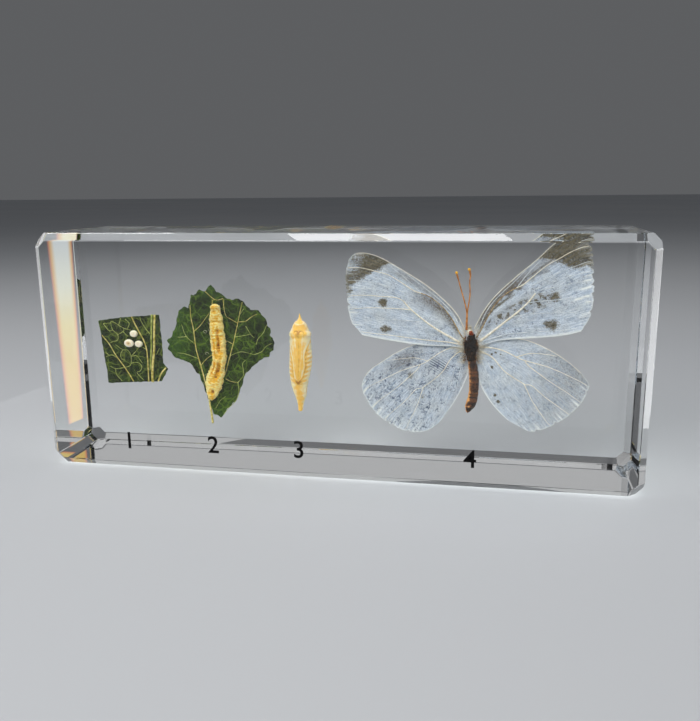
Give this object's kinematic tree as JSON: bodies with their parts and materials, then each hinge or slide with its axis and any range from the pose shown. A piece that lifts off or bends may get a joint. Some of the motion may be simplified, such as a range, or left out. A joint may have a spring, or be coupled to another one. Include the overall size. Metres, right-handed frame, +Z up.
{
  "type": "insect life-cycle specimen block in clear resin",
  "caption": "Clear polished resin slab, chamfered all round, standing on its long edge with a butterfly's life-cycle stages sealed inside.",
  "frame": {"origin": "middle of the long narrow face that the block stands on", "axes": "+X along the block's length towards the butterfly end, -Y out of the large front face, +Z up"},
  "size_m": [0.11, 0.0274, 0.0445],
  "materials": {
    "clear_resin": "polished clear cast resin, flat faces with ground and polished chamfers",
    "leaf": "dried green leaf with pale veins, sealed in the resin",
    "dried_insect": "dry matt insect skin, from cream to brown, sealed in the resin",
    "wing_scales": "thin powdery wing membrane with pale veins, sealed in the resin",
    "printed_ink": "flat black ink, printed on the front face of the block"
  },
  "bodies": {
    "root": {"resin_block": "clear_resin"}
  },
  "joints": []
}
